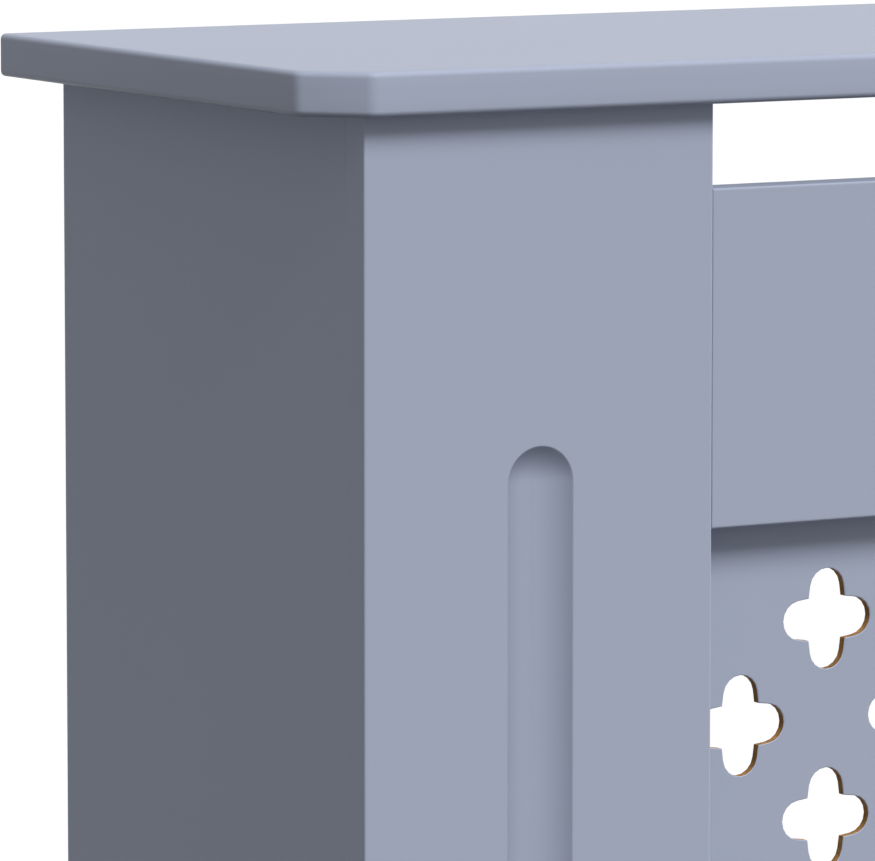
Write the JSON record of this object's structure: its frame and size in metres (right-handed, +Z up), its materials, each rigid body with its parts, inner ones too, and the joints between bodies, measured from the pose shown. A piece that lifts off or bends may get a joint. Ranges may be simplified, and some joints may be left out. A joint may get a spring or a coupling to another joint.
{
  "type": "radiator cover cabinet",
  "caption": "Free-standing painted MDF radiator cover with fluted stiles, a slot under the top board, a grille pierced with crosses, and an open back and base.",
  "frame": {"origin": "on the floor, under the middle of the top board", "axes": "+Z up, front towards -Y, +X to the right seen from the front"},
  "size_m": [0.77, 0.19, 0.815],
  "materials": {
    "painted_board": "grey blue sprayed satin paint on MDF",
    "painted_sheet": "the same paint on thin MDF sheet, with raw brown edges in the piercings",
    "white_plastic": "moulded, matt",
    "zinc_steel": "bright zinc plated",
    "beech": "raw beech dowel"
  },
  "bodies": {
    "root": {"top_board": "painted_board", "stile_left": "painted_board", "stile_right": "painted_board", "rail_upper": "painted_board", "rail_lower": "painted_board", "side_panel_left": "painted_board", "side_panel_right": "painted_board", "grille_panel": "painted_sheet", "corner_block_left_low": "white_plastic", "corner_block_left_middle": "white_plastic", "corner_block_left_high": "white_plastic", "top_block_left_front": "white_plastic", "top_block_left_back": "white_plastic", "top_block_left_stile": "white_plastic", "corner_block_right_low": "white_plastic", "corner_block_right_middle": "white_plastic", "corner_block_right_high": "white_plastic", "top_block_right_front": "white_plastic", "top_block_right_back": "white_plastic", "top_block_right_stile": "white_plastic", "wall_bracket_left": "zinc_steel", "wall_bracket_right": "zinc_steel", "corner_block_left_low_screw_1": "zinc_steel", "corner_block_left_low_screw_2": "zinc_steel", "corner_block_left_middle_screw_1": "zinc_steel", "corner_block_left_middle_screw_2": "zinc_steel", "corner_block_left_high_screw_1": "zinc_steel", "corner_block_left_high_screw_2": "zinc_steel", "top_block_left_front_screw_1": "zinc_steel", "top_block_left_front_screw_2": "zinc_steel", "top_block_left_back_screw_1": "zinc_steel", "top_block_left_back_screw_2": "zinc_steel", "top_block_left_stile_screw_1": "zinc_steel", "top_block_left_stile_screw_2": "zinc_steel", "corner_block_right_low_screw_1": "zinc_steel", "corner_block_right_low_screw_2": "zinc_steel", "corner_block_right_middle_screw_1": "zinc_steel", "corner_block_right_middle_screw_2": "zinc_steel", "corner_block_right_high_screw_1": "zinc_steel", "corner_block_right_high_screw_2": "zinc_steel", "top_block_right_front_screw_1": "zinc_steel", "top_block_right_front_screw_2": "zinc_steel", "top_block_right_back_screw_1": "zinc_steel", "top_block_right_back_screw_2": "zinc_steel", "top_block_right_stile_screw_1": "zinc_steel", "top_block_right_stile_screw_2": "zinc_steel", "wall_bracket_left_screw_1": "zinc_steel", "wall_bracket_left_screw_2": "zinc_steel", "wall_bracket_right_screw_1": "zinc_steel", "wall_bracket_right_screw_2": "zinc_steel", "dowel_upper_left_1": "beech", "dowel_upper_left_2": "beech", "dowel_upper_right_1": "beech", "dowel_upper_right_2": "beech", "dowel_lower_left_1": "beech", "dowel_lower_left_2": "beech", "dowel_lower_right_1": "beech", "dowel_lower_right_2": "beech"}
  },
  "joints": []
}
